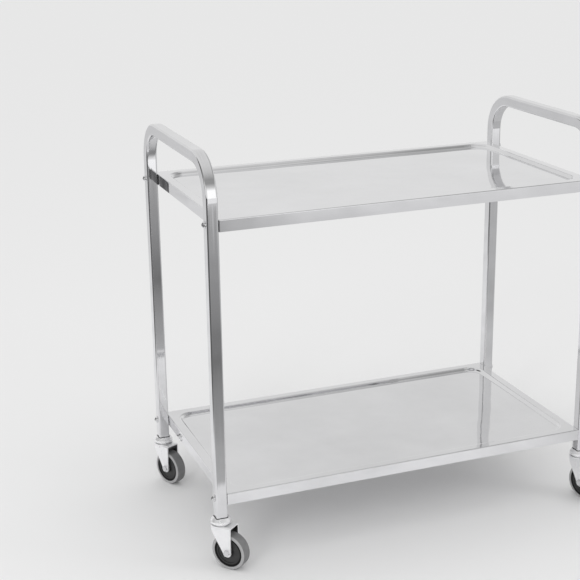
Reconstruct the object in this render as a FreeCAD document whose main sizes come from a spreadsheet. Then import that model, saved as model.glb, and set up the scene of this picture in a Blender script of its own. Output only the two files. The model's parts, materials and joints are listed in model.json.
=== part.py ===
import FreeCAD, Part
import math
import os
import Sketcher
from FreeCAD import Placement, Rotation, Vector

# A two-tier stainless serving cart: two bent square-tube end frames carry two
# pressed trays between them, and a swivel caster stands under each post.
# The origin is on the floor below the middle of the cart, +Z up, X along its
# length with the left end at -X, and the front at -Y.

# Lengths closer than this are taken as the same, in millimetres.
CLOSE = 0.01

# Driving sizes, in millimetres and degrees.
SIZES = {
    # Overall
    "cart_length": 900,
    "cart_width": 470,
    "lower_rise": 53,
    "tier_pitch": 588,
    "handle_rise": 124,
    # Square tube of the end frames
    "tube_side": 25,
    "tube_wall": 1.2,
    "tube_corner": 4,
    "bend_outside": 90,
    # Pressed trays
    "tray_gauge": 1,
    "tray_skirt": 25,
    "tray_fold": 2,
    "rim_width": 21,
    "dish_depth": 7,
    "dish_run": 5.5,
    "dish_corner": 36,
    "dish_bend": 5.5,
    # Stiffening channel under each tray
    "rib_width": 60,
    "rib_depth": 12,
    "rib_lip": 14,
    "rib_inset": 45,
    # Tray fasteners
    "bolt_drop": 10,
    "bolt_size": 8,
    "bolt_head": 14,
    "bolt_crown": 4.4,
    "bolt_flat": 7,
    "socket_flats": 5,
    "socket_depth": 2.6,
    "bolt_tail": 2,
    "bolt_room": 0.3,
    "washer_size": 16,
    "washer_gauge": 1.6,
    "nut_flats": 13,
    "nut_height": 6.5,
    # Threaded plug in each post foot
    "plug_height": 30,
    "plug_room": 0.15,
    # Caster swivel head
    "stem_size": 12,
    "stem_length": 26,
    "stem_room": 0.1,
    "collar_size": 18,
    "collar_height": 1,
    "cap_size": 43,
    "cap_depth": 12,
    "cap_gauge": 2,
    "cap_run": 5,
    "cap_drop": 7,
    "cap_round": 2,
    "cap_gap": 4,
    "play": 0.3,
    "race_inside": 18,
    "race_size": 28,
    "rivet_size": 20,
    "rivet_height": 4,
    # Caster fork
    "crown_gap": 15.5,
    "crown_size": 42,
    "boss_size": 31,
    "boss_rise": 7,
    "fork_gauge": 2.5,
    "fork_inside": 28,
    "fork_bend": 4,
    "fork_back": 14,
    "knee_drop": 13,
    "knee_round": 25,
    "boss_round": 2.5,
    "leg_round": 9.5,
    "trail": 23,
    # Wheel and axle
    "wheel_size": 80,
    "tyre_width": 25,
    "tyre_depth": 7,
    "tyre_round": 3.5,
    "tyre_room": 0.1,
    "rim_depth": 6,
    "hub_width": 19,
    "hub_web": 6,
    "boss_wall": 5,
    "cover_gauge": 1.5,
    "axle_size": 8,
    "axle_head": 13,
    "axle_crown": 4,
    "sleeve_size": 12,
    "axle_nut_height": 7,
    "running_fit": 0.05,
    # Direction in which each caster trails, turned from +X
    "swing_front_left": 310,
    "swing_back_left": 295,
    "swing_front_right": 282,
    "swing_back_right": 78,
}

# Sizes that follow from the driving ones.
DERIVED = {
    "wheel_radius": "wheel_size / 2",
    "crown_low": "wheel_size + crown_gap",
    "crown_top": "crown_low + fork_gauge",
    "boss_top": "crown_top + boss_rise",
    "cap_low": "crown_top + cap_gap",
    "cap_top": "cap_low + cap_depth",
    "post_foot": "cap_top + collar_height",
    "lower_level": "post_foot + lower_rise",
    "upper_level": "lower_level + tier_pitch",
    "handle_top": "upper_level + handle_rise",
    "half_length": "cart_length / 2",
    "half_width": "cart_width / 2",
    "half_tube": "tube_side / 2",
    "half_bore": "half_tube - tube_wall",
    "bore_corner": "tube_corner - tube_wall",
    "post_x": "half_length - half_tube",
    "post_y": "half_width - half_tube",
    "bend_radius": "bend_outside - half_tube",
    "bar_height": "handle_top - half_tube",
    "bend_start": "bar_height - bend_radius",
    "bend_middle": "post_y - bend_radius",
    "tray_x": "half_length - tube_side",
    "dish_x": "tray_x - rim_width",
    "dish_y": "half_width - rim_width",
    "floor_x": "dish_x - dish_run",
    "floor_y": "dish_y - dish_run",
    "floor_corner": "dish_corner - dish_run",
    "floor_under": "dish_depth + tray_gauge",
    "skirt_cut": "4 * tray_gauge",
    "post_span": "2 * post_y",
    "bolt_lower": "lower_level - bolt_drop",
    "bolt_upper": "upper_level - bolt_drop",
    "bolt_radius": "bolt_size / 2",
    "bolt_hole": "bolt_radius + bolt_room",
    "head_radius": "bolt_head / 2",
    "bolt_top": "bolt_flat / 2",
    "bolt_shoulder": "bolt_crown * 0.6",
    "bolt_brow": "bolt_top + (head_radius - bolt_top) * 0.72",
    "washer_radius": "washer_size / 2",
    "washer_face": "half_length + washer_gauge",
    "head_face": "washer_face + bolt_crown",
    "nut_seat": "tube_side + tray_gauge",
    "nut_face": "half_length - nut_seat",
    "nut_bore": "bolt_radius + stem_room",
    "bolt_reach": "washer_gauge + nut_seat + nut_height + bolt_tail",
    "rib_half": "rib_width / 2",
    "rib_inner": "rib_half - tray_gauge",
    "rib_edge": "rib_half + rib_lip",
    "rib_low": "rib_depth - tray_gauge",
    "rib_length": "2 * tray_x - 2 * rib_inset",
    "plug_half": "half_bore - plug_room",
    "stem_radius": "stem_size / 2",
    "stem_hole": "stem_radius + stem_room",
    "stem_top": "post_foot + stem_length",
    "swivel_hole": "stem_radius + play",
    "collar_radius": "collar_size / 2",
    "cap_radius": "cap_size / 2",
    "cap_bore": "cap_radius - cap_gauge",
    "cap_under": "cap_top - cap_gauge",
    "cap_brow": "cap_radius - cap_run",
    "cap_shoulder": "cap_top - cap_drop",
    "cap_inner_brow": "cap_brow - cap_gauge / 2",
    "cap_inner_shoulder": "cap_shoulder - cap_gauge / 3",
    "race_bore": "race_inside / 2",
    "race_radius": "race_size / 2",
    "race_low": "boss_top + play",
    "race_top": "cap_under - play",
    "boss_under": "boss_top - fork_gauge",
    "rivet_radius": "rivet_size / 2",
    "rivet_top": "boss_under - play",
    "rivet_low": "rivet_top - rivet_height",
    "boss_radius": "boss_size / 2",
    "boss_bore": "boss_radius - fork_gauge",
    "fork_half": "fork_inside / 2",
    "fork_side": "fork_half + fork_gauge",
    "fork_width": "2 * fork_side",
    "fork_crease": "fork_bend - fork_gauge",
    "fork_front": "trail + leg_round",
    "leg_foot": "wheel_radius - leg_round",
    "knee_level": "crown_top - knee_drop",
    "crown_radius": "crown_size / 2",
    "axle_length": "fork_width + axle_nut_height + bolt_tail",
    "axle_radius": "axle_size / 2",
    "axle_hole": "axle_radius + stem_room",
    "sleeve_radius": "sleeve_size / 2",
    "hub_bore": "sleeve_radius + running_fit",
    "hub_boss": "hub_bore + boss_wall",
    "hub_half": "fork_half - play",
    "hub_radius": "wheel_radius - tyre_depth",
    "tyre_bore": "hub_radius + tyre_room",
    "tyre_half": "tyre_width / 2",
    "rim_bore": "hub_radius - rim_depth",
    "rim_half": "hub_width / 2",
    "web_half": "hub_web / 2",
    "cover_bore": "hub_boss + play",
    "cover_back": "rim_half - cover_gauge",
    "cover_face": "rim_half + cover_gauge",
    "cover_edge": "rim_bore - play",
    "cover_ring": "cover_edge - cover_gauge",
    "cover_radius": "hub_radius - play",
}

# Sign of X and sign of Y of the post above each caster.
CASTERS = {
    "front_left": (-1, -1),
    "back_left": (-1, 1),
    "front_right": (1, -1),
    "back_right": (1, 1),
}

doc = FreeCAD.newDocument("serving_cart")
sheet = doc.addObject("Spreadsheet::Sheet", "sizes")
sub_parts = []


def fill_sheet():
    """Write the driving sizes, then the sizes that follow from them."""
    cells = {name: str(size) for name, size in SIZES.items()}
    cells.update({name: "=" + rule for name, rule in DERIVED.items()})
    for corner, (side, end) in CASTERS.items():
        turn = f"swing_{corner} * 1 deg"
        cells[f"{corner}_x"] = f"={side} * post_x"
        cells[f"{corner}_y"] = f"={end} * post_y"
        cells[f"{corner}_axle_x"] = f"={corner}_x + trail * cos({turn})"
        cells[f"{corner}_axle_y"] = f"={corner}_y + trail * sin({turn})"
    for row, (name, content) in enumerate(cells.items(), start=1):
        sheet.set(f"A{row}", name)
        sheet.set(f"B{row}", content)
        sheet.setAlias(f"B{row}", name)
    doc.recompute()


def read(name):
    """Value of a named size; a leading minus turns its sign."""
    if name == "0":
        return 0.0
    if name.startswith("-"):
        return -read(name[1:])
    return float(sheet.get(name))


def formula(name):
    """Expression that binds a property to a named size."""
    if name.startswith("-"):
        return "-sizes." + name[1:]
    return "sizes." + name


def bind(feature, **names):
    """Bind properties of a feature to named sizes."""
    for prop, name in names.items():
        feature.setExpression(prop, formula(name))


def new_body(label):
    body = doc.addObject("PartDesign::Body", label)
    body.Label = label
    body.AllowCompound = True
    sub_parts.append(body)
    return body


def origin_item(body, role):
    return next(item for item in body.Origin.OriginFeatures if item.Role == role)


def sketch_on(body, role, x="0", y="0", z="0"):
    """Sketch on a body's origin plane, moved along the plane's own axes."""
    sketch = body.newObject("Sketcher::SketchObject", "sketch")
    sketch.AttachmentSupport = [(origin_item(body, role), "")]
    sketch.MapMode = "FlatFace"
    for axis, name in zip("xyz", (x, y, z)):
        if name != "0":
            sketch.setExpression(f"AttachmentOffset.Base.{axis}", formula(name))
    return sketch


def fix_point(sketch, geometry, end, x, y):
    """Hold one end of a piece of geometry at named coordinates."""
    for axis, kind, name in ((-2, "DistanceX", x), (-1, "DistanceY", y)):
        if name == "0":
            sketch.addConstraint(Sketcher.Constraint("PointOnObject", geometry, end, axis))
            continue
        index = sketch.addConstraint(Sketcher.Constraint(kind, -1, 1, geometry, end, read(name)))
        sketch.setExpression(f"Constraints[{index}]", formula(name))


def polygon(sketch, points):
    """Closed outline of straight edges through named points."""
    spots = [Vector(read(x), read(y), 0) for x, y in points]
    first = sketch.GeometryCount
    for index, spot in enumerate(spots):
        sketch.addGeometry(Part.LineSegment(spot, spots[(index + 1) % len(spots)]))
    for index, (x, y) in enumerate(points):
        following = first + (index + 1) % len(points)
        sketch.addConstraint(Sketcher.Constraint("Coincident", first + index, 2, following, 1))
        fix_point(sketch, first + index, 1, x, y)


def circle(sketch, x, y, radius):
    """Circle about a named point, with a named radius."""
    shape = Part.Circle(Vector(read(x), read(y), 0), Vector(0, 0, 1), read(radius))
    index = sketch.addGeometry(shape)
    fix_point(sketch, index, 3, x, y)
    size = sketch.addConstraint(Sketcher.Constraint("Radius", index, read(radius)))
    sketch.setExpression(f"Constraints[{size}]", formula(radius))


def arc_between(centre, radius, start, end):
    """Arc about a centre between two angles in quarter turns."""
    whole = Part.Circle(centre, Vector(0, 0, 1), radius)
    return Part.ArcOfCircle(whole, start * math.pi / 2, end * math.pi / 2)


def rounded_rectangle(sketch, half_x, half_y, radius):
    """Rectangle about the sketch's origin with four equal round corners."""
    across, along, corner = read(half_x), read(half_y), read(radius)
    signs = ((1, 1), (-1, 1), (-1, -1), (1, -1))
    first = sketch.GeometryCount
    arcs = []
    for quadrant, (side, end) in enumerate(signs):
        centre = Vector(side * (across - corner), end * (along - corner), 0)
        arcs.append(arc_between(centre, corner, quadrant, quadrant + 1))
    for index, arc in enumerate(arcs):
        sketch.addGeometry(arc)
        sketch.addGeometry(Part.LineSegment(arc.EndPoint, arcs[(index + 1) % 4].StartPoint))
    for index in range(4):
        arc, line = first + 2 * index, first + 2 * index + 1
        following = first + 2 * ((index + 1) % 4)
        sketch.addConstraint(Sketcher.Constraint("Tangent", arc, 2, line, 1))
        sketch.addConstraint(Sketcher.Constraint("Tangent", line, 2, following, 1))
        sketch.addConstraint(Sketcher.Constraint("Vertical" if index % 2 else "Horizontal", line))
        if index:
            sketch.addConstraint(Sketcher.Constraint("Equal", first, arc))
    edges = (("DistanceY", half_y), ("DistanceX", "-" + half_x),
             ("DistanceY", "-" + half_y), ("DistanceX", half_x))
    for index, (kind, name) in enumerate(edges):
        line = first + 2 * index + 1
        held = sketch.addConstraint(Sketcher.Constraint(kind, -1, 1, line, 1, read(name)))
        sketch.setExpression(f"Constraints[{held}]", formula(name))
    size = sketch.addConstraint(Sketcher.Constraint("Radius", first, corner))
    sketch.setExpression(f"Constraints[{size}]", formula(radius))


def hexagon(sketch, flats, inner=None):
    """Hexagon about the sketch's origin, by its width across flats, with an optional round hole."""
    across = read(flats)
    corner = across / 3 ** 0.5
    spots = [Vector(corner, 0, 0)]
    for step in range(1, 6):
        spots.append(Rotation(Vector(0, 0, 1), 60 * step).multVec(spots[0]))
    ring = sketch.addGeometry(Part.Circle(Vector(0, 0, 0), Vector(0, 0, 1), corner))
    sketch.toggleConstruction(ring)
    first = ring + 1
    for step, spot in enumerate(spots):
        sketch.addGeometry(Part.LineSegment(spot, spots[(step + 1) % 6]))
    sketch.addConstraint(Sketcher.Constraint("Coincident", ring, 3, -1, 1))
    for step in range(6):
        line, following = first + step, first + (step + 1) % 6
        sketch.addConstraint(Sketcher.Constraint("Coincident", line, 2, following, 1))
        sketch.addConstraint(Sketcher.Constraint("PointOnObject", line, 1, ring))
        if step:
            sketch.addConstraint(Sketcher.Constraint("Equal", first, line))
    sketch.addConstraint(Sketcher.Constraint("PointOnObject", first, 1, -1))
    size = sketch.addConstraint(Sketcher.Constraint("Radius", ring, corner))
    sketch.setExpression(f"Constraints[{size}]", formula(flats) + " / sqrt(3)")
    if inner:
        circle(sketch, "0", "0", inner)


def pad(body, sketch, length, both_ways=False, other_length=None, reverse=False):
    feature = body.newObject("PartDesign::Pad", "pad")
    feature.Profile = sketch
    bind(feature, Length=length)
    if both_ways:
        feature.SideType = "Symmetric"
    if other_length:
        feature.SideType = "Two sides"
        bind(feature, Length2=other_length)
    feature.Reversed = reverse
    doc.recompute()
    return feature


def pocket_through(body, sketch):
    """Cut a sketch's outline right through the body, both ways."""
    before = body.Shape.Volume
    feature = body.newObject("PartDesign::Pocket", "cut")
    feature.Profile = sketch
    feature.SideType = "Symmetric"
    feature.Type = "ThroughAll"
    doc.recompute()
    check_cut(body, before)
    return feature


def pocket(body, sketch, length, both_ways=False, reverse=False):
    before = body.Shape.Volume
    feature = body.newObject("PartDesign::Pocket", "cut")
    feature.Profile = sketch
    if both_ways:
        feature.SideType = "Symmetric"
    feature.Reversed = reverse
    bind(feature, Length=length)
    doc.recompute()
    check_cut(body, before)
    return feature


def check_cut(body, before):
    if body.Shape.Volume > before - CLOSE:
        raise RuntimeError(f"a cut in {body.Label} removes nothing")


def revolve(body, sketch, axis="V_Axis"):
    feature = body.newObject("PartDesign::Revolution", "turned")
    feature.Profile = sketch
    feature.ReferenceAxis = (sketch, [axis])
    feature.Angle = 360
    doc.recompute()
    return feature


def round_edges(body, radius, wanted):
    """Round the edges of a body's last feature that the test picks."""
    base = body.Tip
    names = [f"Edge{index}" for index, edge in enumerate(base.Shape.Edges, start=1) if wanted(edge)]
    if not names:
        raise RuntimeError(f"{body.Label} has no edge to round")
    feature = body.newObject("PartDesign::Fillet", "round")
    feature.Base = (base, names)
    bind(feature, Radius=radius)
    doc.recompute()
    return feature


def near(value, name):
    return abs(value - read(name)) < CLOSE


def is_ring(edge, radius, level, along="z"):
    """Whether an edge is a circle of a named radius at a named level along an axis."""
    curve = edge.Curve
    if not isinstance(curve, Part.Circle):
        return False
    return near(curve.Radius, radius) and near(getattr(curve.Center, along), level)


def place(body, x="0", y="0", z="0", turn=None):
    """Put a body at named coordinates, turned about Z by a named angle."""
    angle = read(turn) if turn else 0.0
    spot = Vector(read(x), read(y), read(z))
    body.Placement = Placement(spot, Rotation(Vector(0, 0, 1), angle))
    for axis, name in zip("xyz", (x, y, z)):
        if name != "0":
            body.setExpression(f"Placement.Base.{axis}", formula(name))
    if turn:
        body.setExpression("Placement.Rotation.Angle", formula(turn))


def make_end_frame(label, x):
    """One square tube bent into two posts and the push handle across them."""
    body = new_body(label)
    section = sketch_on(body, "XY_Plane", y="-post_y", z="post_foot")
    rounded_rectangle(section, "half_tube", "half_tube", "tube_corner")
    rounded_rectangle(section, "half_bore", "half_bore", "bore_corner")
    path = sketch_on(body, "YZ_Plane")
    bend = read("bend_radius")
    feet = [Vector(side * read("post_y"), read("post_foot"), 0) for side in (-1, 1)]
    middles = [Vector(side * read("bend_middle"), read("bend_start"), 0) for side in (-1, 1)]
    front_bend = arc_between(middles[0], bend, 1, 2)
    back_bend = arc_between(middles[1], bend, 0, 1)
    path.addGeometry(Part.LineSegment(feet[0], front_bend.EndPoint))
    path.addGeometry(front_bend)
    path.addGeometry(Part.LineSegment(front_bend.StartPoint, back_bend.EndPoint))
    path.addGeometry(back_bend)
    path.addGeometry(Part.LineSegment(back_bend.StartPoint, feet[1]))
    for joint in ((0, 2, 1, 2), (1, 1, 2, 1), (2, 2, 3, 2), (3, 1, 4, 1)):
        path.addConstraint(Sketcher.Constraint("Tangent", *joint))
    fix_point(path, 0, 1, "-post_y", "post_foot")
    fix_point(path, 4, 2, "post_y", "post_foot")
    fix_point(path, 1, 3, "-bend_middle", "bend_start")
    fix_point(path, 3, 3, "bend_middle", "bend_start")
    tube = body.newObject("PartDesign::AdditivePipe", "bent_tube")
    tube.Profile = section
    tube.Spine = (path, [f"Edge{index}" for index in range(1, 6)])
    doc.recompute()
    holes = sketch_on(body, "YZ_Plane")
    for level in ("bolt_lower", "bolt_upper"):
        for side in ("-post_y", "post_y"):
            circle(holes, side, level, "bolt_hole")
    pocket_through(body, holes)
    place(body, x=x)


def make_tray(label, level):
    """Pressed tray: a flat rim round a shallow dish, with a skirt folded down all round."""
    body = new_body(label)
    blank = sketch_on(body, "XY_Plane")
    polygon(blank, [("-tray_x", "-half_width"), ("tray_x", "-half_width"),
                    ("tray_x", "half_width"), ("-tray_x", "half_width")])
    pad(body, blank, "tray_skirt", reverse=True)
    mouth = sketch_on(body, "XY_Plane")
    rounded_rectangle(mouth, "dish_x", "dish_y", "dish_corner")
    floor = sketch_on(body, "XY_Plane", z="-dish_depth")
    rounded_rectangle(floor, "floor_x", "floor_y", "floor_corner")
    dish = body.newObject("PartDesign::SubtractiveLoft", "dish")
    dish.Profile = mouth
    dish.Sections = [floor]
    dish.Ruled = True
    doc.recompute()

    def on_dish(edge):
        box = edge.BoundBox
        inside = max(abs(box.XMin), abs(box.XMax)) < read("dish_x") + read("tray_gauge")
        return inside and box.ZLength < CLOSE

    def on_fold(edge):
        middle = edge.CenterOfMass
        upright = edge.BoundBox.ZLength > read("tray_gauge")
        outer = near(abs(middle.x), "tray_x") or near(abs(middle.y), "half_width")
        return outer and (upright or near(middle.z, "0"))

    round_edges(body, "dish_bend", on_dish)
    round_edges(body, "tray_fold", on_fold)
    base = body.Tip
    open_side = [f"Face{index}" for index, face in enumerate(base.Shape.Faces, start=1)
                 if near(face.BoundBox.ZMax, "-tray_skirt")]
    shell = body.newObject("PartDesign::Thickness", "sheet")
    shell.Base = (base, open_side)
    bind(shell, Value="tray_gauge")
    shell.Reversed = True
    doc.recompute()
    for end in ("-tray_x", "tray_x"):
        holes = sketch_on(body, "YZ_Plane", z=end)
        for side in ("-post_y", "post_y"):
            circle(holes, side, "-bolt_drop", "bolt_hole")
        pocket(body, holes, "skirt_cut", both_ways=True)
    place(body, z=level)


def make_stiffener(label, level):
    """Folded hat channel spot-welded along the underside of a tray."""
    body = new_body(label)
    section = sketch_on(body, "YZ_Plane", y="-floor_under")
    right = [("rib_edge", "0"), ("rib_edge", "-tray_gauge"), ("rib_half", "-tray_gauge"),
             ("rib_half", "-rib_depth")]
    left = [("-rib_half", "-rib_depth"), ("-rib_half", "-tray_gauge"),
            ("-rib_edge", "-tray_gauge"), ("-rib_edge", "0")]
    hollow = [("-rib_inner", "0"), ("-rib_inner", "-rib_low"),
              ("rib_inner", "-rib_low"), ("rib_inner", "0")]
    polygon(section, right + left + hollow)
    pad(body, section, "rib_length", both_ways=True)
    place(body, z=level)


def repeat_whole(body, axis, length):
    """Second copy of a whole body, a named distance along one of its axes."""
    copies = body.newObject("PartDesign::LinearPattern", "row")
    copies.TransformMode = "Whole shape"
    copies.Direction = (origin_item(body, axis), [""])
    bind(copies, Length=length)
    copies.Occurrences = 2
    body.Tip = copies
    doc.recompute()


def mirror_whole(body, role):
    """Mirror a whole body in one of its origin planes, keeping both halves."""
    facing = body.newObject("PartDesign::Mirrored", "facing")
    facing.TransformMode = "Whole shape"
    facing.MirrorPlane = (origin_item(body, role), [""])
    body.Tip = facing
    doc.recompute()


def repeat_at_bolts(body):
    """Repeat a piece made at the front left post's lower bolt at all eight bolts."""
    repeat_whole(body, "Y_Axis", "post_span")
    repeat_whole(body, "Z_Axis", "tier_pitch")
    mirror_whole(body, "YZ_Plane")


def make_tray_bolts():
    """Button-head bolts through the posts into the tray ends."""
    body = new_body("tray_bolts")
    profile = sketch_on(body, "XY_Plane", x="-washer_face", y="-post_y", z="bolt_lower")
    polygon(profile, [("-bolt_crown", "0"), ("-bolt_crown", "bolt_top"),
                      ("-bolt_shoulder", "bolt_brow"), ("0", "head_radius"),
                      ("0", "bolt_radius"), ("bolt_reach", "bolt_radius"), ("bolt_reach", "0")])
    revolve(body, profile, "H_Axis")
    socket = sketch_on(body, "YZ_Plane", x="-post_y", y="bolt_lower", z="-head_face")
    hexagon(socket, "socket_flats")
    pocket(body, socket, "socket_depth", reverse=True)
    repeat_at_bolts(body)


def make_tray_washers():
    body = new_body("tray_washers")
    ring = sketch_on(body, "YZ_Plane", x="-post_y", y="bolt_lower", z="-washer_face")
    circle(ring, "0", "0", "washer_radius")
    circle(ring, "0", "0", "bolt_hole")
    pad(body, ring, "washer_gauge")
    repeat_at_bolts(body)


def make_tray_nuts():
    body = new_body("tray_nuts")
    outline = sketch_on(body, "YZ_Plane", x="-post_y", y="bolt_lower", z="-nut_face")
    hexagon(outline, "nut_flats", "nut_bore")
    pad(body, outline, "nut_height")
    repeat_at_bolts(body)


def make_post_plugs():
    """Threaded plug pressed into the foot of each post for the caster stem."""
    body = new_body("post_plugs")
    section = sketch_on(body, "XY_Plane", x="-post_x", y="-post_y", z="post_foot")
    rounded_rectangle(section, "plug_half", "plug_half", "bore_corner")
    circle(section, "0", "0", "stem_hole")
    pad(body, section, "plug_height")
    repeat_whole(body, "Y_Axis", "post_span")
    mirror_whole(body, "YZ_Plane")


def place_on_caster(body, corner):
    place(body, f"{corner}_x", f"{corner}_y", turn=f"swing_{corner}")


def place_on_axle(body, corner):
    place(body, f"{corner}_axle_x", f"{corner}_axle_y", "wheel_radius", turn=f"swing_{corner}")


def make_stem(corner):
    """Threaded stem with its collar, and the rivet head that holds the fork up."""
    body = new_body(f"{corner}_stem")
    profile = sketch_on(body, "XZ_Plane")
    polygon(profile, [("0", "rivet_low"), ("rivet_radius", "rivet_low"), ("rivet_radius", "rivet_top"),
                      ("stem_radius", "rivet_top"), ("stem_radius", "cap_top"),
                      ("collar_radius", "cap_top"), ("collar_radius", "post_foot"),
                      ("stem_radius", "post_foot"), ("stem_radius", "stem_top"), ("0", "stem_top")])
    revolve(body, profile)
    place_on_caster(body, corner)


def make_swivel_cap(corner):
    """Pressed cup with a sloped shoulder over the swivel bearing, fixed under the stem's collar."""
    body = new_body(f"{corner}_swivel_cap")
    profile = sketch_on(body, "XZ_Plane")
    inside = [("stem_hole", "cap_top"), ("stem_hole", "cap_under"), ("cap_inner_brow", "cap_under"),
              ("cap_bore", "cap_inner_shoulder"), ("cap_bore", "cap_low")]
    outside = [("cap_radius", "cap_low"), ("cap_radius", "cap_shoulder"), ("cap_brow", "cap_top")]
    polygon(profile, inside + outside)
    revolve(body, profile)

    def on_shoulder(edge):
        return is_ring(edge, "cap_radius", "cap_shoulder") or is_ring(edge, "cap_brow", "cap_top")

    round_edges(body, "cap_round", on_shoulder)
    place_on_caster(body, corner)


def make_swivel_race(corner):
    """Caged ball ring between the fork's boss and the cap."""
    body = new_body(f"{corner}_swivel_race")
    profile = sketch_on(body, "XZ_Plane")
    polygon(profile, [("race_bore", "race_low"), ("race_radius", "race_low"),
                      ("race_radius", "race_top"), ("race_bore", "race_top")])
    revolve(body, profile)
    place_on_caster(body, corner)


def trim_legs(body):
    """Taper both legs to a round about the axle."""
    outline = sketch_on(body, "XZ_Plane")
    centre = Vector(read("trail"), read("wheel_radius"), 0)
    knee = Vector(-read("fork_back"), read("knee_level"), 0)
    front = Vector(read("fork_front"), read("wheel_radius"), 0)
    away = knee - centre
    spread = math.acos(read("leg_round") / away.Length)
    touch = math.atan2(away.y, away.x) + spread
    whole = Part.Circle(centre, Vector(0, 0, 1), read("leg_round"))
    end_round = Part.ArcOfCircle(whole, touch, 2 * math.pi)
    low_front = Vector(read("fork_front"), 0, 0)
    low_back = Vector(-read("fork_back"), 0, 0)
    outline.addGeometry(Part.LineSegment(knee, end_round.StartPoint))
    outline.addGeometry(end_round)
    outline.addGeometry(Part.LineSegment(front, low_front))
    outline.addGeometry(Part.LineSegment(low_front, low_back))
    outline.addGeometry(Part.LineSegment(low_back, knee))
    outline.addConstraint(Sketcher.Constraint("Tangent", 0, 2, 1, 1))
    for first, second in ((1, 2), (2, 3), (3, 4), (4, 0)):
        outline.addConstraint(Sketcher.Constraint("Coincident", first, 2, second, 1))
    fix_point(outline, 0, 1, "-fork_back", "knee_level")
    fix_point(outline, 1, 3, "trail", "wheel_radius")
    fix_point(outline, 2, 1, "fork_front", "wheel_radius")
    fix_point(outline, 3, 1, "fork_front", "0")
    fix_point(outline, 3, 2, "-fork_back", "0")
    pocket_through(body, outline)


def make_fork(corner):
    """Pressed fork: two tapered legs under a flat crown with a raised, hollow boss."""
    body = new_body(f"{corner}_fork")
    section = sketch_on(body, "YZ_Plane")
    polygon(section, [("-fork_side", "leg_foot"), ("-fork_side", "crown_top"),
                      ("fork_side", "crown_top"), ("fork_side", "leg_foot"),
                      ("fork_half", "leg_foot"), ("fork_half", "crown_low"),
                      ("-fork_half", "crown_low"), ("-fork_half", "leg_foot")])
    pad(body, section, "fork_front", other_length="fork_back")

    def along_bend(across, level):
        def wanted(edge):
            middle = edge.CenterOfMass
            return near(abs(middle.y), across) and near(middle.z, level)
        return wanted

    def at_knee(edge):
        middle = edge.CenterOfMass
        return near(middle.x, "-fork_back") and near(middle.z, "knee_level")

    def at_boss(edge):
        return is_ring(edge, "boss_radius", "boss_top")

    round_edges(body, "fork_bend", along_bend("fork_side", "crown_top"))
    round_edges(body, "fork_crease", along_bend("fork_half", "crown_low"))
    opening = sketch_on(body, "XY_Plane")
    circle(opening, "0", "0", "boss_bore")
    pocket_through(body, opening)
    trim_legs(body)
    round_edges(body, "knee_round", at_knee)
    crown = sketch_on(body, "XZ_Plane")
    polygon(crown, [("swivel_hole", "boss_top"), ("boss_radius", "boss_top"),
                    ("boss_radius", "crown_top"), ("crown_radius", "crown_top"),
                    ("crown_radius", "crown_low"), ("boss_bore", "crown_low"),
                    ("boss_bore", "boss_under"), ("swivel_hole", "boss_under")])
    revolve(body, crown)
    round_edges(body, "boss_round", at_boss)
    holes = sketch_on(body, "XZ_Plane")
    circle(holes, "trail", "wheel_radius", "axle_hole")
    pocket_through(body, holes)
    place_on_caster(body, corner)


def make_axle(corner):
    """Hexagon-head axle bolt, its nut, and the sleeve that the hub turns on."""
    bolt = new_body(f"{corner}_axle_bolt")
    shank = sketch_on(bolt, "XZ_Plane", z="fork_side")
    circle(shank, "0", "0", "axle_radius")
    pad(bolt, shank, "axle_length", reverse=True)
    head = sketch_on(bolt, "XZ_Plane", z="fork_side")
    hexagon(head, "axle_head")
    pad(bolt, head, "axle_crown")
    place_on_axle(bolt, corner)
    nut = new_body(f"{corner}_axle_nut")
    outline = sketch_on(nut, "XZ_Plane", z="-fork_side")
    hexagon(outline, "axle_head", "axle_hole")
    pad(nut, outline, "axle_nut_height", reverse=True)
    place_on_axle(nut, corner)
    sleeve = new_body(f"{corner}_axle_sleeve")
    ring = sketch_on(sleeve, "XZ_Plane")
    circle(ring, "0", "0", "sleeve_radius")
    circle(ring, "0", "0", "axle_hole")
    pad(sleeve, ring, "fork_inside", both_ways=True)
    place_on_axle(sleeve, corner)


def make_wheel(corner):
    """Rubber tyre on a webbed hub, with a dished cover on each side of the hub."""
    tyre = new_body(f"{corner}_tyre")
    tread = sketch_on(tyre, "XY_Plane")
    polygon(tread, [("tyre_bore", "-tyre_half"), ("wheel_radius", "-tyre_half"),
                    ("wheel_radius", "tyre_half"), ("tyre_bore", "tyre_half")])
    revolve(tyre, tread)

    def on_tread_edge(edge):
        sides = ("-tyre_half", "tyre_half")
        return any(is_ring(edge, "wheel_radius", side, "y") for side in sides)

    round_edges(tyre, "tyre_round", on_tread_edge)
    place_on_axle(tyre, corner)
    hub = new_body(f"{corner}_hub")
    spokes = sketch_on(hub, "XY_Plane")
    upper = [("rim_bore", "web_half"), ("rim_bore", "rim_half"), ("hub_radius", "rim_half")]
    lower = [("hub_radius", "-rim_half"), ("rim_bore", "-rim_half"), ("rim_bore", "-web_half")]
    inner = [("hub_boss", "-web_half"), ("hub_boss", "-hub_half"), ("hub_bore", "-hub_half"),
             ("hub_bore", "hub_half"), ("hub_boss", "hub_half"), ("hub_boss", "web_half")]
    polygon(spokes, upper + lower + inner)
    revolve(hub, spokes)
    place_on_axle(hub, corner)
    covers = new_body(f"{corner}_wheel_covers")
    dish = sketch_on(covers, "XY_Plane")
    polygon(dish, [("cover_bore", "cover_back"), ("cover_edge", "cover_back"),
                   ("cover_edge", "rim_half"), ("cover_radius", "rim_half"),
                   ("cover_radius", "cover_face"), ("cover_ring", "cover_face"),
                   ("cover_ring", "rim_half"), ("cover_bore", "rim_half")])
    revolve(covers, dish)
    mirror_whole(covers, "XZ_Plane")
    place_on_axle(covers, corner)


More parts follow.
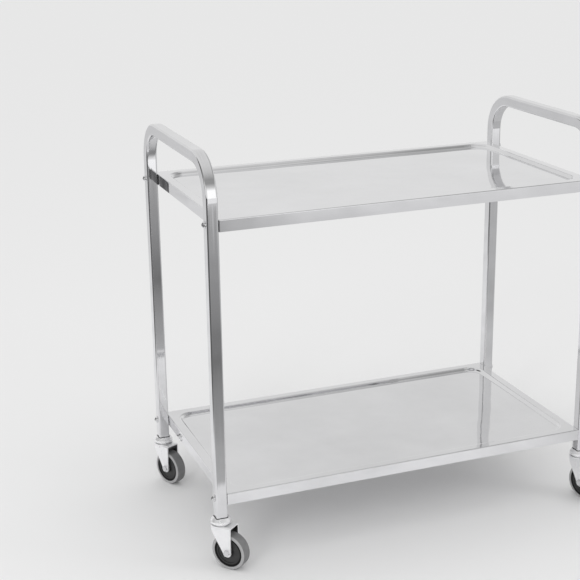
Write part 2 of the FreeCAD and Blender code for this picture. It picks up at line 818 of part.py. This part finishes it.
def check_and_export():
    """Stop on any faulty object, then write one STEP file for each sub-part."""
    doc.recompute()
    for item in doc.Objects:
        if "Invalid" in item.State or "Error" in item.State:
            raise RuntimeError(f"{item.Label} is {item.State}")
    os.makedirs("parts", exist_ok=True)
    for body in sub_parts:
        if body.Shape.isNull() or not body.Shape.isValid():
            raise RuntimeError(f"{body.Label} has no sound shape")
        body.Shape.exportStep(f"parts/{body.Label}.step")
        print(body.Label, len(body.Shape.Solids), round(body.Shape.Volume, 1))


fill_sheet()
make_end_frame("left_end_frame", "-post_x")
make_end_frame("right_end_frame", "post_x")
for tier in ("upper", "lower"):
    make_tray(f"{tier}_tray", f"{tier}_level")
    make_stiffener(f"{tier}_stiffener", f"{tier}_level")
make_tray_bolts()
make_tray_washers()
make_tray_nuts()
make_post_plugs()
for corner in CASTERS:
    make_stem(corner)
    make_swivel_cap(corner)
    make_swivel_race(corner)
    make_fork(corner)
    make_axle(corner)
    make_wheel(corner)
check_and_export()
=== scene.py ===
import json
import math

import bpy
from mathutils import Matrix, Vector


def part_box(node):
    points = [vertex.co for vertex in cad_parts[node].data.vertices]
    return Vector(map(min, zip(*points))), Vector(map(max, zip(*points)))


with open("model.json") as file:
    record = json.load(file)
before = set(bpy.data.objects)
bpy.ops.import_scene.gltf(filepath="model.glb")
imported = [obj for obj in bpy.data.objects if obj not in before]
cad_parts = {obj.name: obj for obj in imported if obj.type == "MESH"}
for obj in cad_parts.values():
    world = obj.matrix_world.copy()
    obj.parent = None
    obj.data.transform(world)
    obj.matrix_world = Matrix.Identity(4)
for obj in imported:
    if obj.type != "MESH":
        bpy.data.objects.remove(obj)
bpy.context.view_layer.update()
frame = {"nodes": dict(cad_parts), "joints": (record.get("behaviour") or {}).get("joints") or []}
nodes = frame["nodes"]
joints = {joint["name"]: joint for joint in frame["joints"]}
CORNERS = ("front_left", "back_left", "front_right", "back_right")

# Places on the cart that the finishes follow, in metres
POST_PLACE = Vector([abs(value) for value in joints["front_right_swivel_turn"]["pos_m"]])
POST_HALF = 0.0125
CAP_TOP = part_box("front_right_swivel_cap")[1][2]
BEND_OUTSIDE = 0.09
BEND_PLACE = Vector(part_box("right_end_frame")[1]) - Vector((0.0, BEND_OUTSIDE, BEND_OUTSIDE))
CROWN_LEVEL = 0.09
COVER_STEP = 0.0255

# Painted shade on the cap round a post's foot, in the gap under the post: how far it reaches from the post's
# axis, and where it starts and is full below the top of the cap
SHADE_REACH = 0.0155
SHADE_START = 0.0012
SHADE_FULL = 0.0004
SHADE_TONE = 0.02

# Black ring on a wheel cover, painted shade for the gap between the cover and the tyre: its inner radius and
# how soft its edge is
RING_INSIDE = 0.0282
RING_BLUR = 0.0003
RING_SHADE_TONE = 0.004

# A face looks along a direction if the cosine of the angle between them is more than this
FACING = 0.6

# Most values of a noise texture lie in this span
NOISE_LOW, NOISE_HIGH = 0.3, 0.7

# Shares of drawn lines and of clouds in the roughness of metal
LINE_SHARE, CLOUD_SHARE = 0.35, 0.65

# Heights of grain and pores, in metres, and the number of dusty patches in a metre
GRAIN_HEIGHT = 0.0004
PORE_HEIGHT = 0.0003
DUST_SCALE = 60.0

# Number of grain lines and of waves in a metre, along each axis; on the tube Z runs along it
TUBE_GRAIN = (900.0, 900.0, 14.0)
SHEET_GRAIN = (10.0, 700.0, 700.0)
FINE_GRAIN = (800.0, 800.0, 800.0)
TUBE_WAVES = (150.0, 150.0, 4.0)
EVEN_WAVES = (9.0, 9.0, 9.0)

# Floor: its size in metres, and the tones that polished metal sees on it by their place along Y
FLOOR_RADIUS = 30.0
FLOOR_SIDES = 96
FLOOR_SPAN = 4.0
FLOOR_LEFT = ((-3.36, 1.0), (-3.27, 0.36), (-2.9, 0.40), (-2.2, 0.34), (-1.4, 0.19), (-0.9, 0.36),
              (-0.625, 0.48), (-0.595, 0.86), (1.2, 0.86), (2.2, 0.76), (3.2, 0.69))
FLOOR_RIGHT = ((-3.4, 1.0), (-3.2, 0.83), (-2.7, 0.72), (-2.3, 0.52), (-0.65, 0.47), (-0.55, 0.56))
FLOOR_LEFT_TO_RIGHT = (0.22, 0.95)
DARK_CORNER_X = (-0.95, -1.35)
DARK_CORNER_Y = (0.8, 0.4)
FLOOR_CLOUDS = 4.5
FLOOR_CLOUD_TONES = (0.84, 1.04)
FLOOR_ROUGHNESS = 0.9
PALE_TONE = 0.80
DARK_TONE = 0.12

# Surroundings that polished metal sees: tones by how far up a direction points, from 0, level, to
# 1, straight up, and the parts of X and Y of a direction where one sky passes into the next
FRONT_UPPER_SKY = ((0.42, 0.55), (0.56, 0.28), (0.70, 0.28), (0.88, 0.50), (1.0, 0.62))
FRONT_LEFT_SKY = ((0.0, 0.68), (0.30, 0.66)) + FRONT_UPPER_SKY
FRONT_MIDDLE_SKY = ((0.0, 1.0), (0.29, 1.0)) + FRONT_UPPER_SKY
FRONT_RIGHT_SKY = ((0.0, 0.58), (0.45, 0.58), (0.62, 0.30), (0.85, 0.24), (1.0, 0.62))
BACK_LEFT_SKY = ((0.25, 0.64), (0.42, 0.60), (0.70, 0.62), (1.0, 0.62))
BACK_RIGHT_SKY = ((0.25, 0.64), (0.42, 0.57), (0.62, 0.38), (0.85, 0.40), (1.0, 0.62))
FRONT_LEFT_TO_MIDDLE = (0.05, 0.17)
FRONT_MIDDLE_TO_RIGHT = (0.36, 0.48)
BACK_LEFT_TO_RIGHT = (0.26, 0.37)
BACK_TO_DARK_SIDE = (-0.55, -0.70)
FRONT_TO_BACK = (-0.25, 0.30)
SKY_STRENGTH = 1.25
SKY_IN_VIEW = 0.64

# Lamps: size in metres, angle of the beam in degrees and the point they face
LAMP_SIZE = (0.9, 2.0)
LAMP_BEAM = 80
LAMP_TARGET = (0.0, 0.0, 0.4)

# Camera: place in metres, turn in degrees, focal length in pixels of the image
CAMERA_PLACE = (-1.15969, -2.56770, 1.39232)
CAMERA_YAW, CAMERA_PITCH, CAMERA_ROLL = 20.670, 17.738, -0.827
FOCAL_PIXELS = 1298.6
IMAGE_PIXELS = 580
SENSOR_WIDTH = 36.0
CLIP_NEAR, CLIP_FAR = 0.05, 100.0


def flat(tone):
    """Colour of an even grey tone."""
    return (tone, tone, tone, 1)


def grey(tone):
    """Colour of a grey tone with a trace of blue."""
    return (tone, tone, tone * 1.01, 1)


class Graph:
    """A node tree with short ways to add nodes to it."""

    def __init__(self, tree):
        self.tree = tree

    def put(self, socket, value):
        """Link an input to an output, or set it to a value."""
        if isinstance(value, bpy.types.NodeSocket):
            self.tree.links.new(value, socket)
        else:
            socket.default_value = value

    def add(self, kind, **inputs):
        """New node with some of its inputs linked or set."""
        node = self.tree.nodes.new("ShaderNode" + kind)
        for key, value in inputs.items():
            self.put(node.inputs[key.replace("_", " ")], value)
        return node

    def calc(self, operation, *values):
        """Result of a sum on numbers."""
        node = self.add("Math")
        node.operation = operation
        for socket, value in zip(node.inputs, values):
            self.put(socket, value)
        return node.outputs[0]

    def vector(self, operation, *values):
        """Node for a sum on vectors."""
        node = self.add("VectorMath")
        node.operation = operation
        for socket, value in zip(node.inputs, values):
            self.put(socket, value)
        return node

    def part_way(self, value, start, end):
        """Rise from 0 to 1 as a value goes from start to end, smoothly at both ends."""
        node = self.add("MapRange", Value=value, From_Min=start, From_Max=end)
        node.interpolation_type = "SMOOTHSTEP"
        return node.outputs["Result"]

    def spread(self, value, low, high):
        """Map a noise value to the span from low to high."""
        node = self.add("MapRange", Value=value, From_Min=NOISE_LOW, From_Max=NOISE_HIGH,
                        To_Min=low, To_Max=high)
        return node.outputs["Result"]

    def ramp(self, value, stops):
        """Colour that follows a value through stops, each a position and a colour."""
        node = self.add("ValToRGB", Fac=value)
        elements = node.color_ramp.elements
        while len(elements) < len(stops):
            elements.new(1.0)
        for element, (position, colour) in zip(elements, stops):
            element.position = position
            element.color = colour
        return node.outputs["Color"]

    def tint(self, value, dark, light):
        """Grey that runs from dark to light as a noise value rises."""
        return self.ramp(value, ((NOISE_LOW, grey(dark)), (NOISE_HIGH, grey(light))))

    def blend(self, part, first, second, kind="MIX"):
        """Colour part of the way from the first to the second."""
        node = self.add("Mix")
        node.data_type = "RGBA"
        node.blend_type = kind
        for socket, value in ((node.inputs[0], part), (node.inputs[6], first), (node.inputs[7], second)):
            self.put(socket, value)
        return node.outputs[2]


def new_material(name):
    """Material, its Principled shader and its graph."""
    material = bpy.data.materials.new(name)
    material.use_nodes = True
    tree = material.node_tree
    return material, tree.nodes["Principled BSDF"], Graph(tree)


def along_tube(graph, place):
    """Coordinates that follow an end frame's tube: X and Y lie across it, and Z runs along it."""
    calc = graph.calc
    axes = graph.add("SeparateXYZ", Vector=place).outputs
    beside = calc("MAXIMUM", calc("SUBTRACT", calc("ABSOLUTE", axes["Y"]), BEND_PLACE.y), 0.0)
    above = calc("MAXIMUM", calc("SUBTRACT", axes["Z"], BEND_PLACE.z), 0.0)
    across = calc("SQRT", calc("ADD", calc("MULTIPLY", beside, beside), calc("MULTIPLY", above, above)))
    along = calc("ADD", axes["Y"], axes["Z"])
    return graph.add("CombineXYZ", X=axes["X"], Y=across, Z=along).outputs["Vector"]


def steel(name, tones, rough, grain_lines, grain, clouds=9.0, wave=0.0, waves=EVEN_WAVES, metal=1.0,
          follow_tube=False):
    """Metal with cloudy polish, fine drawn grain and, where wave has a height, slow waves in the surface."""
    material, shader, graph = new_material(name)
    place = graph.add("TexCoord").outputs["Object"]
    haze = graph.add("TexNoise", Vector=place, Scale=clouds, Detail=5.0, Roughness=0.6).outputs["Fac"]
    if follow_tube:
        place = along_tube(graph, place)
    drawn = graph.add("Mapping", Vector=place, Scale=grain_lines).outputs["Vector"]
    lines = graph.add("TexNoise", Vector=drawn, Scale=1.0, Detail=3.0).outputs["Fac"]
    polish = graph.calc("MULTIPLY_ADD", lines, LINE_SHARE, graph.calc("MULTIPLY", haze, CLOUD_SHARE))
    graph.put(shader.inputs["Roughness"], graph.spread(polish, *rough))
    graph.put(shader.inputs["Base Color"], graph.tint(haze, *tones))
    bump = graph.add("Bump", Height=lines, Strength=grain, Distance=GRAIN_HEIGHT)
    if wave:
        slow = graph.add("Mapping", Vector=place, Scale=waves).outputs["Vector"]
        swell = graph.add("TexNoise", Vector=slow, Scale=1.0, Detail=1.0).outputs["Fac"]
        rolling = graph.add("Bump", Height=swell, Strength=1.0, Distance=wave)
        graph.put(bump.inputs["Normal"], rolling.outputs["Normal"])
    graph.put(shader.inputs["Normal"], bump.outputs["Normal"])
    shader.inputs["Metallic"].default_value = metal
    return material


def plastic(name, tones, rough, pore_scale, grain, specular=0.5):
    """Moulded plastic or rubber with a fine leathery surface and a dusty tint."""
    material, shader, graph = new_material(name)
    place = graph.add("TexCoord").outputs["Object"]
    dust = graph.add("TexNoise", Vector=place, Scale=DUST_SCALE, Detail=6.0, Roughness=0.65).outputs["Fac"]
    pores = graph.add("TexNoise", Vector=place, Scale=pore_scale, Detail=2.0).outputs["Fac"]
    graph.put(shader.inputs["Base Color"], graph.tint(dust, *tones))
    graph.put(shader.inputs["Roughness"], graph.spread(dust, *rough))
    bump = graph.add("Bump", Height=pores, Strength=grain, Distance=PORE_HEIGHT)
    graph.put(shader.inputs["Normal"], bump.outputs["Normal"])
    shader.inputs["Specular IOR Level"].default_value = specular
    return material


def lay_over(graph, part, tone):
    """Cover a material's own colour with a grey tone, as far as part rises from 0 to 1."""
    colour = graph.tree.nodes["Principled BSDF"].inputs["Base Color"]
    graph.put(colour, graph.blend(part, colour.links[0].from_socket, flat(tone)))


def paint_shade_under_posts(material):
    """Painted shade on a caster's cap, round the foot of the square post that stands on it."""
    graph = Graph(material.node_tree)
    calc = graph.calc
    axes = graph.add("SeparateXYZ", Vector=graph.add("TexCoord").outputs["Object"]).outputs
    across = calc("ABSOLUTE", calc("SUBTRACT", calc("ABSOLUTE", axes["X"]), POST_PLACE.x))
    deep = calc("ABSOLUTE", calc("SUBTRACT", calc("ABSOLUTE", axes["Y"]), POST_PLACE.y))
    under = graph.part_way(calc("MAXIMUM", across, deep), SHADE_REACH, POST_HALF)
    on_top = graph.part_way(axes["Z"], CAP_TOP - SHADE_START, CAP_TOP - SHADE_FULL)
    lay_over(graph, calc("MULTIPLY", under, on_top), SHADE_TONE)


def cover_rim(corner, centre, axis):
    """Raised edge of a wheel's covers: grey like their face, with a black ring at the outside that is
    painted shade for the gap to the tyre.
    """
    material = plastic(f"cover_rim_{corner}", tones=(0.036, 0.054), rough=(0.35, 0.50), pore_scale=900.0,
                       grain=0.15, specular=0.15)
    graph = Graph(material.node_tree)
    place = graph.add("TexCoord").outputs["Object"]
    away = graph.vector("SUBTRACT", place, centre).outputs["Vector"]
    turned = graph.vector("CROSS_PRODUCT", away, axis).outputs["Vector"]
    radius = graph.vector("LENGTH", turned).outputs["Value"]
    # Black of painted shade over the rim beyond the ring's inner radius
    lay_over(graph, graph.part_way(radius, RING_INSIDE - RING_BLUR, RING_INSIDE + RING_BLUR), RING_SHADE_TONE)
    return material


tube_steel = steel("polished_tube", tones=(0.76, 0.84), rough=(0.035, 0.085), grain_lines=TUBE_GRAIN,
                   grain=0.05, wave=0.00016, waves=TUBE_WAVES, follow_tube=True)
sheet_steel = steel("polished_sheet", tones=(0.80, 0.87), rough=(0.03, 0.07), grain_lines=SHEET_GRAIN,
                    grain=0.02, clouds=5.0, wave=0.0008)
plain_steel = steel("sheet_underside", tones=(0.52, 0.62), rough=(0.28, 0.40), grain_lines=SHEET_GRAIN,
                    grain=0.12)
bright_steel = steel("bright_fastener", tones=(0.72, 0.82), rough=(0.06, 0.14), grain_lines=FINE_GRAIN,
                     grain=0.06, clouds=80.0)
zinc = steel("zinc_plate", tones=(0.88, 0.93), rough=(0.26, 0.34), grain_lines=FINE_GRAIN,
             grain=0.06, clouds=60.0, metal=0.55)
cap_zinc = steel("zinc_cap", tones=(0.88, 0.93), rough=(0.22, 0.30), grain_lines=FINE_GRAIN,
                 grain=0.06, clouds=60.0, metal=0.6)
# Painted shade on the caps round the posts' feet
paint_shade_under_posts(cap_zinc)
# Dark copy of the zinc: painted shade for the fork's inner faces, the crown's underside and the stem in the
# gap under the post
painted_shade_zinc = steel("zinc_painted_shade", tones=(0.10, 0.17), rough=(0.40, 0.55), grain_lines=FINE_GRAIN,
                  grain=0.10, clouds=60.0)
side_rubber = plastic("tyre_side", tones=(0.33, 0.40), rough=(0.45, 0.60), pore_scale=1500.0, grain=0.12)
# The tread takes the tyre's rubber in a darker tone: painted shade on the faces that turn away from the
# light
shaded_tread_rubber = plastic("tyre_tread_shaded", tones=(0.16, 0.21), rough=(0.55, 0.72), pore_scale=1100.0, grain=0.25)
hub_grey = plastic("hub_face", tones=(0.024, 0.040), rough=(0.35, 0.50), pore_scale=900.0,
                   grain=0.15, specular=0.35)
black_plastic = plastic("black_plastic", tones=(0.006, 0.012), rough=(0.32, 0.45), pore_scale=900.0,
                        grain=0.15, specular=0.15)


def dress(node, main, other=None, takes_other=None):
    """Give a node its main material, and another one on the faces that a test picks."""
    mesh = nodes[node].data
    mesh.materials.clear()
    mesh.materials.append(main)
    if other:
        mesh.materials.append(other)
    for face in mesh.polygons:
        face.material_index = 1 if other and takes_other(face) else 0


def dress_caster(corner):
    """Finishes of one caster's pieces."""
    roll = joints[f"{corner}_wheel_roll"]
    centre = Vector(roll["pos_m"])
    axis = Vector(roll["axis"]).normalized()

    # Faces that take the dark zinc of painted shade: the legs' faces towards the wheel and the crown's
    # underside
    def inside_fork(face):
        side = (face.center - centre).dot(axis)
        to_wheel = face.normal.dot(axis) * side < -FACING * abs(side)
        return to_wheel or (face.normal.z < -FACING and face.center.z > CROWN_LEVEL)

    def on_tread(face):
        return abs(face.normal.dot(axis)) < FACING

    def on_rim(face):
        return (face.center - centre).cross(axis).length > COVER_STEP

    dress(f"{corner}_swivel_cap", cap_zinc)
    # The whole stem takes the dark zinc: painted shade in the gap between the post and the cap
    dress(f"{corner}_stem", painted_shade_zinc)
    for piece in ("swivel_race", "axle_bolt", "axle_nut", "axle_sleeve"):
        dress(f"{corner}_{piece}", bright_steel)
    dress(f"{corner}_hub", hub_grey)
    dress(f"{corner}_fork", zinc, painted_shade_zinc, inside_fork)
    # Darker rubber on the tread: painted shade
    dress(f"{corner}_tyre", side_rubber, shaded_tread_rubber, on_tread)
    dress(f"{corner}_wheel_covers", hub_grey, cover_rim(corner, centre, axis), on_rim)


def make_floor():
    """Pale floor; polished metal sees it light round the cart, greyer in front and white far off."""
    bpy.ops.mesh.primitive_circle_add(vertices=FLOOR_SIDES, radius=FLOOR_RADIUS, fill_type="NGON")
    floor = bpy.context.object
    floor.name = "floor"
    material, shader, graph = new_material("floor")
    place = graph.add("TexCoord").outputs["Object"]
    axes = graph.add("SeparateXYZ", Vector=place).outputs
    along = graph.add("MapRange", Value=axes["Y"], From_Min=-FLOOR_SPAN, From_Max=FLOOR_SPAN)

    def tones_along(stops):
        places = [((y + FLOOR_SPAN) / (2 * FLOOR_SPAN), flat(tone)) for y, tone in stops]
        return graph.ramp(along.outputs["Result"], places)

    to_right = graph.part_way(axes["X"], *FLOOR_LEFT_TO_RIGHT)
    sides = graph.blend(to_right, tones_along(FLOOR_LEFT), tones_along(FLOOR_RIGHT))
    far_left = graph.part_way(axes["X"], *DARK_CORNER_X)
    in_corner = graph.calc("MULTIPLY", far_left, graph.part_way(axes["Y"], *DARK_CORNER_Y))
    shaded = graph.blend(in_corner, sides, flat(DARK_TONE))
    clouds = graph.add("TexNoise", Vector=place, Scale=FLOOR_CLOUDS, Detail=8.0, Roughness=0.65)
    cloudy = graph.tint(clouds.outputs["Fac"], *FLOOR_CLOUD_TONES)
    mirrored = graph.blend(1.0, shaded, cloudy, "MULTIPLY")
    in_metal = graph.add("LightPath").outputs["Is Glossy Ray"]
    graph.put(shader.inputs["Base Color"], graph.blend(in_metal, flat(PALE_TONE), mirrored))
    shader.inputs["Roughness"].default_value = FLOOR_ROUGHNESS
    shader.inputs["Specular IOR Level"].default_value = 0.0
    floor.data.materials.append(material)


def make_world():
    """Even pale surroundings; polished metal sees a white band in front of the cart and grey above it."""
    world = bpy.data.worlds.new("studio")
    bpy.context.scene.world = world
    world.use_nodes = True
    graph = Graph(world.node_tree)
    axes = graph.add("SeparateXYZ", Vector=graph.add("TexCoord").outputs["Generated"]).outputs

    def upward(stops):
        return graph.ramp(axes["Z"], [(height, flat(tone)) for height, tone in stops])

    def pass_over(axis, span, first, second):
        return graph.blend(graph.part_way(axes[axis], *span), first, second)

    front = pass_over("X", FRONT_LEFT_TO_MIDDLE, upward(FRONT_LEFT_SKY), upward(FRONT_MIDDLE_SKY))
    front = pass_over("X", FRONT_MIDDLE_TO_RIGHT, front, upward(FRONT_RIGHT_SKY))
    back = pass_over("X", BACK_LEFT_TO_RIGHT, upward(BACK_LEFT_SKY), upward(BACK_RIGHT_SKY))
    back = pass_over("X", BACK_TO_DARK_SIDE, back, flat(DARK_TONE))
    around = pass_over("Y", FRONT_TO_BACK, front, back)
    path = graph.add("LightPath").outputs
    plain = graph.blend(path["Is Camera Ray"], flat(PALE_TONE), flat(SKY_IN_VIEW))
    background = world.node_tree.nodes["Background"]
    graph.put(background.inputs["Color"], graph.blend(path["Is Glossy Ray"], plain, around))
    background.inputs["Strength"].default_value = SKY_STRENGTH


def soft_box(name, place, power):
    """Rectangular soft light that faces the cart and leaves no mirror image of itself in metal."""
    light = bpy.data.lights.new(name, "AREA")
    light.shape = "RECTANGLE"
    light.size, light.size_y = LAMP_SIZE
    light.energy = power
    light.spread = math.radians(LAMP_BEAM)
    lamp = bpy.data.objects.new(name, light)
    lamp.location = place
    lamp.visible_glossy = False
    aim = Vector(LAMP_TARGET) - Vector(place)
    lamp.rotation_euler = aim.to_track_quat("-Z", "Y").to_euler()
    bpy.context.scene.collection.objects.link(lamp)


def make_camera():
    """Camera at the photograph's viewing angle, for a square image."""
    yaw, pitch, roll = (math.radians(angle) for angle in (CAMERA_YAW, CAMERA_PITCH, CAMERA_ROLL))
    forward = Vector((math.sin(yaw) * math.cos(pitch), math.cos(yaw) * math.cos(pitch), -math.sin(pitch)))
    level = Vector((math.cos(yaw), -math.sin(yaw), 0))
    upright = level.cross(forward)
    right = math.cos(roll) * level + math.sin(roll) * upright
    up = math.cos(roll) * upright - math.sin(roll) * level
    lens = bpy.data.cameras.new("camera")
    lens.sensor_width = SENSOR_WIDTH
    lens.lens = SENSOR_WIDTH * FOCAL_PIXELS / IMAGE_PIXELS
    lens.clip_start, lens.clip_end = CLIP_NEAR, CLIP_FAR
    camera = bpy.data.objects.new("camera", lens)
    turn = Matrix((right, up, -forward)).transposed().to_4x4()
    camera.matrix_world = Matrix.Translation(CAMERA_PLACE) @ turn
    bpy.context.scene.collection.objects.link(camera)
    bpy.context.scene.camera = camera


for name in ("left_end_frame", "right_end_frame"):
    dress(name, tube_steel)
for name in ("upper_tray", "lower_tray"):
    dress(name, sheet_steel)
for name in ("upper_stiffener", "lower_stiffener"):
    dress(name, plain_steel)
for name in ("tray_bolts", "tray_washers", "tray_nuts"):
    dress(name, bright_steel)
dress("post_plugs", black_plastic)
for corner in CORNERS:
    dress_caster(corner)
make_floor()
make_world()
soft_box("front_left", place=(-3.0, -2.6, 2.0), power=5.6)
soft_box("front_right", place=(3.0, -2.4, 1.8), power=2.8)
make_camera()
scene = bpy.context.scene
scene.view_settings.view_transform = "Standard"
